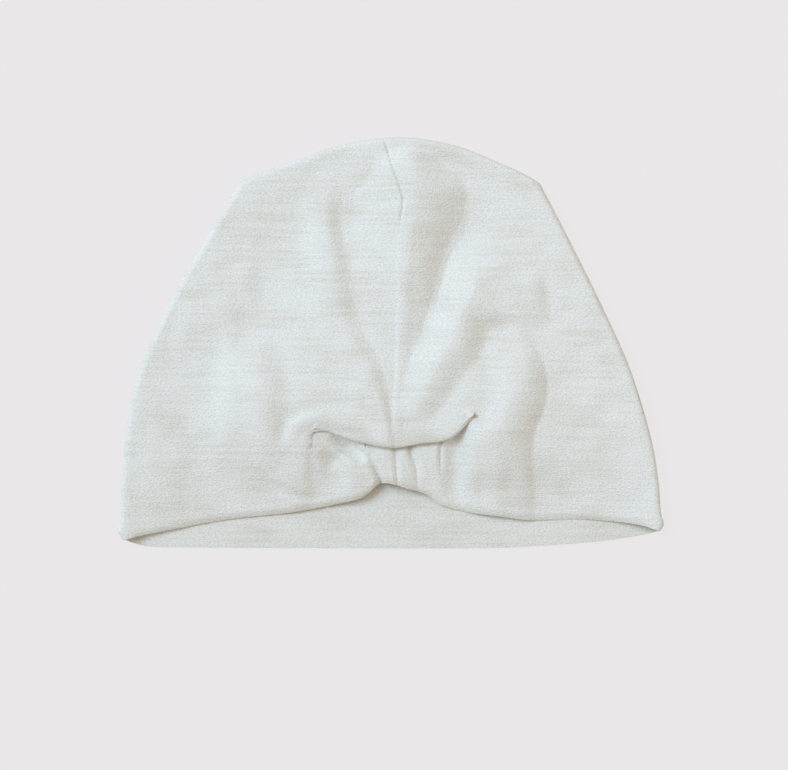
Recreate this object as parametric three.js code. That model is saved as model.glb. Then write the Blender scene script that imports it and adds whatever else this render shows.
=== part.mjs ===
// A knitted terry cap, gathered at the back of its hem, lying flat on its front with its back up.
// Units are millimetres, +Z is up, +Y runs from the mouth to the crown and +X to the right of the gathered back.
// Four cloth walls: the front layer below, the two back panels above it with the centre seam between them, and the
// pleated stretch of hem that the elastic draws in.

import * as THREE from 'three';

// Driving sizes
const WALL = 3; // double terry knit
const GAP = 0.3; // kept between neighbouring pieces
const EDGE_ROLL = 4.5; // outside radius of the edge fold's lower half
const ROLL_WIDTH = 6.5; // how far in from the outline the fold's upper half takes to turn level
const ROLL_SQUARENESS = 2.4; // 2 is a plain ellipse, more is squarer
const SWELL_REACH = 45; // how far in from the outline the upper layer goes on rising
const FOLD_FADE = 20; // folds die out over this distance from the outline
const POUCH_REACH = 62; // the pouch above the gather settles back over this distance
const SKIRT_REACH = 34; // and, beside the gather, over this one towards the hem
const FULL_STEP = 0.5; // the doubling at which none of the pouch's height is left under the gather line
const LIP_RADIUS = 4.75; // outside radius of the pouch's rolled lower edge
const TUCK_DEPTH = 7; // how far the cloth goes back up under that edge
const TUCK_GAP = 1.5; // air between the pouch and the casing under it
const TUCK_SINK = 0.85; // how much lower the casing lies where it goes under
const PLEAT_DEPTH = 2.4; // gathers of the casing, crest to valley
const KNIT_COLOUR = 0xe4e7e6;

// Outline of the flattened cap: its two sides by height, its crown and hems by width.
const LEFT_SIDE = [
  { y: -95.4, x: -130.4 }, { y: -91.4, x: -133 }, { y: -85.5, x: -131.7 }, { y: -66, x: -131.1 },
  { y: -43.6, x: -129 }, { y: -12.6, x: -122.4 }, { y: 23, x: -106.3 }, { y: 52.4, x: -89.5 }, { y: 79.3, x: -73 },
];
const RIGHT_SIDE = [
  { y: -91, x: 131 }, { y: -87.8, x: 133 }, { y: -82, x: 131.6 }, { y: -68, x: 130.5 },
  { y: -46.4, x: 126.9 }, { y: -12.3, x: 116.6 }, { y: 21.9, x: 101.2 }, { y: 54.8, x: 84.8 }, { y: 78.2, x: 72.6 },
];
const CROWN = [
  { x: -73, y: 79.3 }, { x: -67, y: 82.1 }, { x: -48.9, y: 89 }, { x: -25.7, y: 96.7 }, { x: -3.9, y: 100.6 },
  { x: 14.2, y: 100.2 }, { x: 33.7, y: 96.1 }, { x: 55.9, y: 87.1 }, { x: 68, y: 81.3 }, { x: 72.6, y: 78.2 },
];
const BACK_HEM = [
  { x: -130.4, y: -95.4 }, { x: -120.3, y: -92.3 }, { x: -104.7, y: -89.4 }, { x: -89, y: -86 },
  { x: -72.6, y: -83.2 }, { x: -48.2, y: -80 }, { x: -28, y: -76.5 }, { x: -15, y: -73.6 }, { x: -10.2, y: -70.9 },
  { x: -6.3, y: -67.4 }, { x: -3, y: -67 }, { x: 2, y: -68 }, { x: 8, y: -69.8 }, { x: 16.6, y: -72.2 },
  { x: 24, y: -77.2 }, { x: 36, y: -81 }, { x: 53, y: -83.2 }, { x: 68.7, y: -85.2 }, { x: 92, y: -84.4 },
  { x: 113.5, y: -86.2 }, { x: 123.5, y: -88.2 }, { x: 131, y: -91 },
];
const FRONT_HEM = [
  { x: -130.4, y: -95.4 }, { x: -119.4, y: -98.3 }, { x: -96, y: -99 }, { x: -49, y: -99.3 }, { x: 50, y: -99.3 },
  { x: 79.4, y: -97.8 }, { x: 102.8, y: -95.9 }, { x: 120, y: -93.4 }, { x: 131, y: -91 },
];

// Centre seam of the back, from the hem to the crown.
const SEAM = [
  { y: -70, x: 1.8 }, { y: -50, x: 1 }, { y: -30, x: 2.5 }, { y: -10, x: 3.4 }, { y: 20, x: 4 }, { y: 58, x: 4.2 },
  { y: 66.5, x: 5.6 }, { y: 79, x: 3.2 }, { y: 87, x: 0.2 }, { y: 100.6, x: -3.9 },
];

// The line that the pouch ends on. `fold` is how fully the cloth doubles back under it, 0 to 1, and `lean` turns
// the doubling away from straight up the cap, in degrees to the left.
const GATHER = [
  { x: -128.2, y: -38, fold: 0, lean: 0 }, { x: -85, y: -44, fold: 0, lean: 0 },
  { x: -62, y: -46.5, fold: 0, lean: 0 }, { x: -54, y: -48.2, fold: 0, lean: 0 },
  { x: -46, y: -50.4, fold: 0.4, lean: -4 }, { x: -40, y: -46, fold: 0.9, lean: 0 },
  { x: -35.5, y: -41.8, fold: 1, lean: 0 }, { x: -31, y: -42, fold: 1, lean: 0 },
  { x: -25.5, y: -44.2, fold: 1, lean: 0 }, { x: -15, y: -47.6, fold: 1, lean: 0 },
  { x: 1, y: -50.4, fold: 1, lean: 0 }, { x: 14, y: -49, fold: 1, lean: 0 }, { x: 26, y: -47.6, fold: 1, lean: 0 },
  { x: 34, y: -42.8, fold: 1, lean: 30 }, { x: 39, y: -36, fold: 0.9, lean: 42 },
  { x: 45, y: -30, fold: 0.5, lean: 40 }, { x: 53, y: -26, fold: 0.1, lean: 30 },
  { x: 66, y: -25, fold: 0, lean: 0 }, { x: 119.8, y: -24, fold: 0, lean: 0 },
];

// How much higher the cloth above the gather stands than the cloth below it, and where that height starts to die
// out towards the crown.
const POUCH = [
  { x: -130, up: 0, base: -38 }, { x: -80, up: 0.5, base: -42 }, { x: -62, up: 2.2, base: -44 },
  { x: -50, up: 4.4, base: -45 }, { x: -38, up: 7, base: -45 }, { x: -25, up: 8.6, base: -46 },
  { x: -5, up: 9.2, base: -48 }, { x: 14, up: 9.2, base: -48 }, { x: 28, up: 8.8, base: -46 },
  { x: 38, up: 7.4, base: -40 }, { x: 48, up: 5, base: -34 }, { x: 60, up: 2.8, base: -30 },
  { x: 76, up: 1, base: -26 }, { x: 92, up: 0, base: -24 }, { x: 131, up: 0, base: -24 },
];

// How high the edge fold's upper half is, and how far the middle of the cap stands above the fold.
const HEIGHTS = [
  { y: -100, fold: 5.2, swell: 3 }, { y: -77, fold: 6.2, swell: 3.5 }, { y: -50, fold: 7.4, swell: 3.6 },
  { y: -30, fold: 8.4, swell: 3.5 }, { y: 10, fold: 9, swell: 3.8 }, { y: 60, fold: 9, swell: 4.2 },
  { y: 100, fold: 9, swell: 3 },
];

// Columns of the two panels, from the side to the seam: where each passes the hem, the gather line and the crown.
// The one marked `casing` runs along the casing's end.
const LEFT_COLUMNS = [
  { share: 0, hem: -130.4, gather: -128.2, crown: -73 }, { share: 0.14, hem: -117, gather: -116, crown: -66.5 },
  { share: 0.42, hem: -66, gather: -64, crown: -44 },
  { share: 0.72, hem: -5.2, gather: -13, crown: -20, casing: true },
  { share: 1, hem: 1.8, gather: 1, crown: -3.9 },
];
const RIGHT_COLUMNS = [
  { share: 0, hem: 131, gather: 119.8, crown: 72.6 }, { share: 0.14, hem: 119, gather: 108, crown: 66.5 },
  { share: 0.36, hem: 82, gather: 72, crown: 50 },
  { share: 0.7, hem: 22.6, gather: 24.4, crown: 22, casing: true },
  { share: 1, hem: 1.8, gather: 1, crown: -3.9 },
];

// Folds of the upper layer. Each is a path with, at every point of it, the fold's height (a valley's is negative)
// and the widths of its left and right flanks.
const fold = (name, ...points) => ({
  name,
  path: points.map(([x, y]) => [x, y]),
  shape: points.map(([, , rise, left, right]) => ({ rise, left, right })),
});
const FOLDS = [
  fold('left ridge', [-35, 86, 0, 12, 8], [-31.5, 51, 2.6, 15, 8], [-29, 34, 2.4, 15, 9], [-25, 14, 2.4, 16, 11],
    [-18.5, -1, 2.4, 18, 11], [-9, -14, 2.4, 18, 9], [-5, -26, 1.8, 16, 8], [-2.5, -38, 0, 10, 8]),
  fold('shoulder by the seam', [2, 96.7, 0, 10, 10], [10, 68, 3.2, 16, 16], [10, 48.5, 2.8, 18, 10],
    [8, 26.6, 2.2, 20, 9], [5.8, 4.6, 2.2, 20, 8], [4.5, -19.7, 1.6, 18, 8], [2.5, -41.7, 0, 14, 8]),
  fold('step right of the seam', [23, 92, 0, 8, 30], [29, 83, -2.2, 10, 34], [35, 72, -3, 11, 34],
    [33, 57, -3, 10, 24], [23, 39, -2.6, 9, 12], [17, 10, -2, 8, 12], [11, -20, -1, 8, 9], [6.5, -36, 0, 8, 8]),
  fold('first right ridge', [47.5, 46, 0, 14, 9], [42, 35, 2, 14, 9], [36.5, 21.7, 3, 14, 10], [29, 5, 3.2, 13, 10],
    [21.5, -11.4, 2.8, 11, 9], [16.5, -26, 2, 11, 8], [13, -39.2, 0, 10, 8]),
  fold('first right valley', [49, 28, 0, 8, 10], [47, 12.5, -1.8, 8, 12], [44.5, 3, -2.4, 8, 13],
    [39, -6, -2.4, 8, 14], [33.5, -15, -2.2, 8, 13], [28.5, -25, -1.8, 8, 10], [24, -41, 0, 8, 8]),
  fold('second right ridge', [60, 10, 0, 12, 10], [62, -5, 1.6, 16, 12], [64.5, -20, 3, 16, 12],
    [58, -44, 2.8, 16, 11], [58.5, -57, 2.4, 16, 11], [61.5, -80, 1.2, 14, 11], [61.5, -92, 1.2, 14, 11]),
  fold('second right valley', [76, 8, 0, 10, 12], [80, -16, -1.2, 10, 14], [72.5, -44, -1.4, 10, 14],
    [71.5, -78, -0.9, 10, 14], [71.5, -92, -0.9, 10, 14]),
  fold('dent beside the ridge', [50.2, -57.2, 0, 6, 6], [50.2, -64.1, -1.2, 6, 6], [51.6, -73.3, 0, 6, 6]),
  fold('outer left ridge, upper', [-63, 43.6, 0, 10, 8], [-68, 28, 1.4, 12, 8], [-76.5, 14, 2.2, 13, 8],
    [-78, 2, 1.8, 13, 9], [-75, -19.7, 0, 12, 8]),
  fold('outer left ridge, lower', [-70, 4, 0, 12, 8], [-64, -8, 1.8, 13, 9], [-59, -22.6, 2.8, 14, 9],
    [-56.5, -35, 2.8, 14, 8], [-53.1, -45.5, 2, 12, 8], [-47.5, -55.3, 0, 8, 8]),
  fold('left hollow', [-95, 16.8, 0, 16, 12], [-95, 0, -0.9, 16, 12], [-98, -22, -0.7, 18, 14],
    [-102.8, -46.5, 0, 18, 14]),
  fold('rolled lip', [-1.5, -48, 0.4, 6, 6], [-19, -39.2, 2, 6, 6], [-38.5, -35.8, 2.2, 6, 6],
    [-46.8, -44.1, 1.6, 6, 6], [-45.3, -49.5, 0, 6, 6]),
  fold('crease above the lip', [-5.4, -41.7, 0, 8, 6], [-22.4, -29, -1.4, 8, 6], [-33.6, -27, -1.4, 8, 6],
    [-50.2, -36, -0.8, 7, 6], [-54, -47, 0, 6, 6]),
  fold('bulge under the lip', [-49.2, -60, 0, 9, 12], [-27.3, -60, 1.8, 9, 13], [-17.5, -59, 1.6, 8, 12],
    [-10, -62, 0, 8, 8]),
];

// Counts of the mesh
const ROLL_FACETS = 3; // of the edge fold, over the upper layer and again under the lower one
const OUTER_COLUMNS = 14; // from the side roll to the casing's end
const SEAM_COLUMNS = 6; // from there to the seam
const SKIRT_SHARES = [0, 0.07, 0.16, 0.36, 0.57, 0.79]; // rows from the hem up, closer at the hem's corners
const LIP_FACETS = 4;
const CROWN_ROWS = 17;
const CASING_PLEATS = 5;
const COLUMNS_PER_PLEAT = 6;
const FRONT_COLUMNS = 26;
const FRONT_HEM_SHARES = [0, 0.02, 0.045, 0.08]; // rows at the hem's corners
const FRONT_ROWS = 18; // evenly spread above those

const clamp01 = (t) => Math.min(Math.max(t, 0), 1);
const smooth = (t) => clamp01(t) ** 2 * (3 - 2 * clamp01(t));
const mix = (a, b, t) => a + (b - a) * t;

// A smooth curve through one column of a table, read at any value of another column.
function curve(rows, by, column) {
  const slope = rows.map((row, i) => {
    const before = rows[Math.max(i - 1, 0)];
    const after = rows[Math.min(i + 1, rows.length - 1)];
    return (after[column] - before[column]) / (after[by] - before[by]);
  });
  return (value) => {
    let i = rows.findIndex((row) => row[by] > value) - 1;
    if (i < 0) i = value <= rows[0][by] ? 0 : rows.length - 2;
    const span = rows[i + 1][by] - rows[i][by];
    const t = clamp01((value - rows[i][by]) / span);
    const a = rows[i][column];
    const b = rows[i + 1][column];
    const bend = (slope[i] * (1 - t) - slope[i + 1] * t) * span * t * (1 - t);
    return mix(a, b, smooth(t)) + bend;
  };
}

const leftX = curve(LEFT_SIDE, 'y', 'x');
const rightX = curve(RIGHT_SIDE, 'y', 'x');
const crownY = curve(CROWN, 'x', 'y');
const backHemY = curve(BACK_HEM, 'x', 'y');
const frontHemY = curve(FRONT_HEM, 'x', 'y');
const seamX = curve(SEAM, 'y', 'x');
const gatherY = curve(GATHER, 'x', 'y');
const gatherFold = curve(GATHER, 'x', 'fold');
const gatherStep = (x) => smooth(gatherFold(x) / FULL_STEP);
const gatherLean = curve(GATHER, 'x', 'lean');
const pouchUp = curve(POUCH, 'x', 'up');
const pouchBase = curve(POUCH, 'x', 'base');
const foldUp = curve(HEIGHTS, 'y', 'fold');
const swellUp = curve(HEIGHTS, 'y', 'swell');
const last = (rows) => rows[rows.length - 1];

// Distance from a plan point to the sides and crown of the outline.
const OUTLINE_STEP = 2;
function outlinePoints() {
  const points = [];
  const below = 40; // the sides are taken on past the hem, which is not an edge of this outline
  const leftEnd = LEFT_SIDE[0].y;
  const rightEnd = RIGHT_SIDE[0].y;
  points.push([leftX(leftEnd), leftEnd - below]);
  for (let y = leftEnd; y < last(LEFT_SIDE).y; y += OUTLINE_STEP) points.push([leftX(y), y]);
  for (let x = CROWN[0].x; x < last(CROWN).x; x += OUTLINE_STEP) points.push([x, crownY(x)]);
  for (let y = last(RIGHT_SIDE).y; y > rightEnd; y -= OUTLINE_STEP) points.push([rightX(y), y]);
  points.push([rightX(rightEnd), rightEnd], [rightX(rightEnd), rightEnd - below]);
  return points;
}

// Distance from (x, y) to a path, with the step of the path, the share of that step and the side it is nearest to.
function nearest(path, x, y) {
  let found = { distance: Infinity, step: 0, share: 0, side: 1 };
  for (let step = 0; step + 1 < path.length; step += 1) {
    const [ax, ay] = path[step];
    const [bx, by] = path[step + 1];
    const [dx, dy] = [bx - ax, by - ay];
    const share = clamp01(((x - ax) * dx + (y - ay) * dy) / (dx * dx + dy * dy));
    const [ox, oy] = [x - ax - dx * share, y - ay - dy * share];
    const distance = Math.hypot(ox, oy);
    if (distance < found.distance) found = { distance, step, share, side: Math.sign(dx * oy - dy * ox) };
  }
  return found;
}

const outline = outlinePoints();
const edgeDistance = (x, y) => nearest(outline, x, y).distance;

// One fold's height at a plan point. Paths run from the crown towards the mouth, so the left of the cap lies on the
// path's right hand.
function foldHeight({ path, shape }, x, y) {
  const { distance, step, share, side } = nearest(path, x, y);
  const at = (column) => mix(shape[step][column], shape[step + 1][column], share);
  return at('rise') * (1 - smooth(distance / at(side < 0 ? 'left' : 'right')));
}

// Drop of the edge fold's lower half below its middle, at a distance in from the outline.
function lowerRoll(distance) {
  const inward = Math.max(EDGE_ROLL - distance, 0);
  return Math.sqrt(EDGE_ROLL ** 2 - inward ** 2) * (1 - GAP / 2 / EDGE_ROLL);
}

// Rise of its upper half over its middle, as a share of the whole.
function upperRoll(distance) {
  const inward = Math.max(1 - distance / ROLL_WIDTH, 0);
  return (1 - inward ** ROLL_SQUARENESS) ** (1 / ROLL_SQUARENESS);
}

// Height of the upper layer's outside over the surface, without the pouch.
function backHeight(x, y, distance) {
  const reach = 1 - (1 - clamp01(distance / SWELL_REACH)) ** 2;
  const folds = FOLDS.reduce((sum, one) => sum + foldHeight(one, x, y), 0);
  const level = EDGE_ROLL + GAP / 2 + foldUp(y) * upperRoll(distance) + swellUp(y) * reach;
  return level + folds * smooth(distance / FOLD_FADE);
}

// How much the pouch adds to that height.
const pouchHeight = (x, y) => pouchUp(x) * (1 - smooth((y - pouchBase(x)) / POUCH_REACH));

// The cloth's section through the pouch's lower edge, from the skirt to the top of the pouch. `flat` is where the
// row lies along the cap when the cloth isn't doubled, `back` is how far behind the edge it lies when it is, and `up`
// is its height over the skirt there.
function pouchSection() {
  const pouchTop = TUCK_GAP + 2 * LIP_RADIUS;
  const bend = TUCK_GAP / 2;
  const rows = [
    { flat: -9, back: 0.5, up: 0 },
    { flat: -7, back: TUCK_DEPTH - bend, up: 0 },
    { flat: -5.5, back: TUCK_DEPTH, up: GAP },
    { flat: -4, back: TUCK_DEPTH - bend, up: TUCK_GAP },
  ];
  for (let i = 0; i <= LIP_FACETS; i += 1) {
    const angle = Math.PI * (i / LIP_FACETS - 0.5);
    rows.push({
      flat: -2 + 1.5 * i,
      back: LIP_RADIUS * (1 - Math.cos(angle)),
      up: TUCK_GAP + LIP_RADIUS * (1 + Math.sin(angle)),
    });
  }
  rows.push({ flat: 6.5, back: LIP_RADIUS + 4, up: pouchTop });
  return rows;
}
const SECTION = pouchSection();
const BEND_ROW = 2; // of the section: the bend behind the casing
const TUCK_ROW = SKIRT_SHARES.length + BEND_ROW;
const POUCH_TOP = last(SECTION).up;

// A plan grid between four boundary curves, each a function of its own share along.
function patch(bottom, top, start, end) {
  return (u, v) => {
    const corner = (i) => mix(mix(bottom(0)[i], bottom(1)[i], u), mix(top(0)[i], top(1)[i], u), v);
    return [0, 1].map((i) => mix(bottom(u)[i], top(u)[i], v) + mix(start(v)[i], end(v)[i], u) - corner(i));
  };
}

// One back panel as rows of points. `turn` is +1 for the left panel and -1 for the right one.
function backPanel(columns, sideTable, sideX, turn) {
  const hemAt = curve(columns, 'share', 'hem');
  const gatherAt = curve(columns, 'share', 'gather');
  const crownAt = curve(columns, 'share', 'crown');
  const seam = (y) => seamX(y) - (turn * GAP) / 2;
  const gatherSide = gatherY(gatherAt(0));

  // A row of the pouch's section at one column.
  const sectionPoint = (row, u) => {
    const x = gatherAt(u);
    const fold = gatherFold(x);
    const along = mix(row.flat, row.back, fold);
    const lean = THREE.MathUtils.degToRad(gatherLean(x)) * fold;
    const y = gatherY(x) + along * Math.cos(lean);
    const atSide = (sideX(gatherSide + row.flat) - sideX(gatherSide)) * (1 - u) ** 3;
    const atSeam = (seam(y) - gatherAt(1)) * u ** 12;
    return [x - along * Math.sin(lean) + atSide + atSeam, y];
  };

  const low = SECTION[0];
  const high = last(SECTION);
  const sideLow = sideTable[0].y;
  const sideHigh = last(sideTable).y;
  const seamPoint = (from, to) => (v) => [seam(mix(from, to, v)), mix(from, to, v)];
  const sidePoint = (from, to) => (v) => [sideX(mix(from, to, v)), mix(from, to, v)];
  const hemPoint = (u) => {
    const x = hemAt(u) + (seam(backHemY(hemAt(1))) - hemAt(1)) * u ** 12;
    return [x, backHemY(x)];
  };
  const crownPoint = (u) => {
    const x = crownAt(u) + (seam(last(SEAM).y) - crownAt(1)) * u ** 12;
    return [x, crownY(x)];
  };
  const skirt = patch(
    hemPoint,
    (u) => sectionPoint(low, u),
    sidePoint(sideLow, gatherSide + low.flat),
    seamPoint(hemPoint(1)[1], sectionPoint(low, 1)[1]),
  );
  const crown = patch(
    (u) => sectionPoint(high, u),
    crownPoint,
    sidePoint(gatherSide + high.flat, sideHigh),
    seamPoint(sectionPoint(high, 1)[1], crownPoint(1)[1]),
  );

  // Shares across: a few columns for the edge fold, then even spreads to the casing's end and to the seam.
  const rollShare = (ROLL_WIDTH * columns[1].share) / Math.abs(columns[1].gather - columns[0].gather);
  const across = [];
  for (let i = 0; i < ROLL_FACETS; i += 1) {
    across.push(rollShare * (1 - Math.cos((i / ROLL_FACETS) * (Math.PI / 2))));
  }
  const casingShare = columns.find((column) => column.casing).share;
  for (let i = 0; i < OUTER_COLUMNS; i += 1) across.push(mix(rollShare, casingShare, i / OUTER_COLUMNS));
  for (let i = 0; i <= SEAM_COLUMNS; i += 1) across.push(mix(casingShare, 1, i / SEAM_COLUMNS));
  const casingColumn = ROLL_FACETS + OUTER_COLUMNS;

  // Shares up the crown: even, then a few rows for the edge fold.
  const crownLength = crownPoint(1)[1] - sectionPoint(high, 1)[1];
  const rollStart = 1 - ROLL_WIDTH / crownLength;
  const upCrown = [];
  for (let i = 1; i <= CROWN_ROWS; i += 1) upCrown.push((rollStart * i) / CROWN_ROWS);
  for (let i = 1; i <= ROLL_FACETS; i += 1) {
    upCrown.push(mix(rollStart, 1, Math.sin((i / ROLL_FACETS) * (Math.PI / 2))));
  }

  const rows = [];
  const addRow = (plan, pouch, topEdge) => {
    rows.push(across.map((u, column) => {
      const [x, y] = plan(u);
      const distance = column === 0 || topEdge ? 0 : edgeDistance(x, y);
      return { x, y, z: backHeight(x, y, distance) + pouch(u, x, y), onEdge: distance === 0 };
    }));
  };
  // Where the cloth isn't doubled, the pouch's height carries on smoothly over the gather line.
  const above = (u) => pouchHeight(...sectionPoint(high, u));
  const below = (u) => above(u) * (1 - gatherStep(gatherAt(u)));
  const overSkirt = (u, x, y) => below(u) * (1 - smooth((gatherY(x) + low.flat - y) / SKIRT_REACH));
  for (const v of SKIRT_SHARES) addRow((u) => skirt(u, v), overSkirt, false);
  for (const row of SECTION) {
    addRow((u) => sectionPoint(row, u), (u) => mix(below(u), above(u), row.up / POUCH_TOP), false);
  }
  upCrown.forEach((v, i) => {
    addRow((u) => crown(u, v), (u, x, y) => pouchHeight(x, y), i === upCrown.length - 1);
  });

  const isOpen = (row, column) => row < TUCK_ROW && column >= casingColumn;
  const upright = (row, column) => column === across.length - 1 || (column === casingColumn && row <= TUCK_ROW);
  return { geometry: wall(rows, turn > 0, isOpen, upright), casingEdge: rows.map((row) => row[casingColumn]) };
}

// Level direction away from the cap at a point of its outline, read a little way in.
function outwardsAt(x, y) {
  const inner = new THREE.Vector2(x, y).multiplyScalar(1 - WALL / Math.hypot(x, y));
  const probe = 0.5;
  const slopeX = edgeDistance(inner.x + probe, inner.y) - edgeDistance(inner.x - probe, inner.y);
  const slopeY = edgeDistance(inner.x, inner.y + probe) - edgeDistance(inner.x, inner.y - probe);
  return new THREE.Vector3(-slopeX, -slopeY, 0);
}

// Closes a grid of outside points into a wall of cloth. Cells that `isOpen` names are left out, and the wall's end
// stands upright across the cap wherever `upright` says so. `outwards` tells which way round the grid runs.
function wall(rows, outwards, isOpen, upright) {
  const height = rows.length;
  const width = rows[0].length;
  const vector = (point) => new THREE.Vector3(point.x, point.y, point.z);
  const outside = rows.map((row) => row.map(vector));
  const clampRow = (i) => Math.min(Math.max(i, 0), height - 1);
  const clampColumn = (j) => Math.min(Math.max(j, 0), width - 1);

  const inside = rows.map((row, i) => row.map((point, j) => {
    const acrossGrid = outside[i][clampColumn(j + 1)].clone().sub(outside[i][clampColumn(j - 1)]);
    const upGrid = outside[clampRow(i + 1)][j].clone().sub(outside[clampRow(i - 1)][j]);
    const normal = acrossGrid.cross(upGrid).multiplyScalar(outwards ? 1 : -1);
    if (point.onEdge) {
      normal.copy(outwardsAt(point.x, point.y));
    }
    if (upright(i, j)) {
      // The end face stays in the upright plane through its own edge.
      const along = outside[Math.max(i, 1)][j].clone().sub(outside[Math.max(i, 1) - 1][j]);
      const sideways = new THREE.Vector3(along.y, -along.x, 0).normalize();
      normal.addScaledVector(sideways, -normal.dot(sideways));
    }
    return outside[i][j].clone().addScaledVector(normal.normalize(), -WALL);
  }));

  const positions = [];
  const push = (...corners) => corners.forEach((corner) => positions.push(corner.x, corner.y, corner.z));
  const quad = (a, b, c, d) => {
    if (a.distanceTo(c) <= b.distanceTo(d)) push(a, b, c, a, c, d);
    else push(a, b, d, b, c, d);
  };
  const turned = (a, b, c, d) => (outwards ? quad(a, b, c, d) : quad(d, c, b, a));
  const isCell = (i, j) => i >= 0 && j >= 0 && i < height - 1 && j < width - 1 && !isOpen(i, j);
  for (let i = 0; i < height - 1; i += 1) {
    for (let j = 0; j < width - 1; j += 1) {
      if (!isCell(i, j)) continue;
      const corners = [[i, j], [i, j + 1], [i + 1, j + 1], [i + 1, j]];
      turned(...corners.map(([r, c]) => outside[r][c]));
      turned(...corners.reverse().map(([r, c]) => inside[r][c]));
      const beyond = [
        [i - 1, j, [i, j], [i, j + 1]],
        [i, j + 1, [i, j + 1], [i + 1, j + 1]],
        [i + 1, j, [i + 1, j + 1], [i + 1, j]],
        [i, j - 1, [i + 1, j], [i, j]],
      ];
      for (const [row, column, a, b] of beyond) {
        if (isCell(row, column)) continue;
        turned(inside[a[0]][a[1]], inside[b[0]][b[1]], outside[b[0]][b[1]], outside[a[0]][a[1]]);
      }
    }
  }
  const geometry = new THREE.BufferGeometry();
  geometry.setAttribute('position', new THREE.Float32BufferAttribute(positions, 3));
  geometry.computeVertexNormals();
  return geometry;
}

// The stretch of hem that the elastic draws in: a short wall with a row of upright gathers between the two panels,
// tucked up under the pouch as far as the panels' own cloth. Its ends follow the panels' edges.
function casing(leftEdge, rightEdge) {
  const columns = CASING_PLEATS * COLUMNS_PER_PLEAT;
  const acrossAt = (i, u) => mix(leftEdge[i].x + GAP, rightEdge[i].x - GAP, u);
  const alongAt = (i, u) => mix(leftEdge[i].y, rightEdge[i].y, u);
  const rows = [];
  for (let i = 0; i <= TUCK_ROW; i += 1) {
    const inSection = i >= SKIRT_SHARES.length;
    rows.push(Array.from({ length: columns + 1 }, (_, j) => {
      const u = j / columns;
      const x = acrossAt(i, u);
      const hemArch = backHemY(acrossAt(0, u)) - alongAt(0, u);
      const tuckArch = gatherY(acrossAt(TUCK_ROW, u)) + TUCK_DEPTH - alongAt(TUCK_ROW, u);
      const y = alongAt(i, u) + mix(hemArch, tuckArch, i / TUCK_ROW) + (i === TUCK_ROW ? WALL : 0);
      const pleat = (PLEAT_DEPTH / 2) * (1 + Math.cos(u * CASING_PLEATS * 2 * Math.PI));
      const sink = inSection ? TUCK_SINK : 0;
      return { x, y, z: backHeight(x, y, edgeDistance(x, y)) - pleat - sink, onEdge: false };
    }));
  }
  return wall(rows, true, () => false, (row, column) => column === 0 || column === columns);
}

// The layer that lies on the surface, flat but for its rolled edge.
function frontPanel() {
  const hemPoint = (u) => {
    const x = mix(FRONT_HEM[0].x, last(FRONT_HEM).x, u);
    return [x, frontHemY(x)];
  };
  const crownPoint = (u) => {
    const x = mix(CROWN[0].x, last(CROWN).x, u);
    return [x, crownY(x)];
  };
  const side = (table, sideX) => (v) => {
    const y = mix(table[0].y, last(table).y, v);
    return [sideX(y), y];
  };
  const plan = patch(hemPoint, crownPoint, side(LEFT_SIDE, leftX), side(RIGHT_SIDE, rightX));
  // Shares across and up: closer at the edge fold, where `rollShare` is the fold's own part of the span.
  const rollShare = (1.3 * EDGE_ROLL) / (last(FRONT_HEM).x - FRONT_HEM[0].x);
  const ease = (i) => rollShare * (1 - Math.cos((i / ROLL_FACETS) * (Math.PI / 2)));
  const foldShares = Array.from({ length: ROLL_FACETS }, (_, i) => ease(i));
  const spread = (from, count) => Array.from({ length: count + 1 }, (_, i) => mix(from, 1 - rollShare, i / count));
  const farShares = foldShares.map((share) => 1 - share).reverse();
  const across = [...foldShares, ...spread(rollShare, FRONT_COLUMNS), ...farShares];
  const up = [...FRONT_HEM_SHARES, ...spread(last(FRONT_HEM_SHARES) + 0.04, FRONT_ROWS), ...farShares];
  const rows = up.map((v) => across.map((u) => {
    const [x, y] = plan(u, v);
    const onEdge = u === 0 || u === 1 || v === 1;
    const distance = onEdge ? 0 : edgeDistance(x, y);
    const z = EDGE_ROLL - GAP / 2 - lowerRoll(distance);
    return { x, y, z, onEdge };
  }));
  return wall(rows, false, () => false, () => false);
}

function piece(name, geometry) {
  const material = new THREE.MeshStandardMaterial({ color: KNIT_COLOUR, roughness: 0.95, metalness: 0 });
  const mesh = new THREE.Mesh(geometry, material);
  mesh.name = name;
  return mesh;
}

const left = backPanel(LEFT_COLUMNS, LEFT_SIDE, leftX, 1);
const right = backPanel(RIGHT_COLUMNS, RIGHT_SIDE, rightX, -1);
const beanie = new THREE.Group();
beanie.add(
  piece('front_panel', frontPanel()),
  piece('back_left_panel', left.geometry),
  piece('back_right_panel', right.geometry),
  piece('gathered_casing', casing(left.casingEdge, right.casingEdge)),
);

// The origin stands under the middle of the cap.
const middle = new THREE.Box3().setFromObject(beanie).getCenter(new THREE.Vector3());
beanie.position.set(-middle.x, -middle.y, 0);

export default beanie;
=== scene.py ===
# %% [markdown]
# A pull-on cap of ivory slub terry knit, lying flat with its gathered back up. The cap is four pieces of
# cloth: the layer underneath, the left and right halves of the back with a seam between them, and the short
# stretch of hem that a hidden elastic draws into pleats. Each is a grid that is bent into its place by a
# few curves and a short table of folds, and then given the thickness of the knit.

# %% Load the measured model
import math

import bmesh
import bpy
import numpy as np
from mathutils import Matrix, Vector, noise


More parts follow.
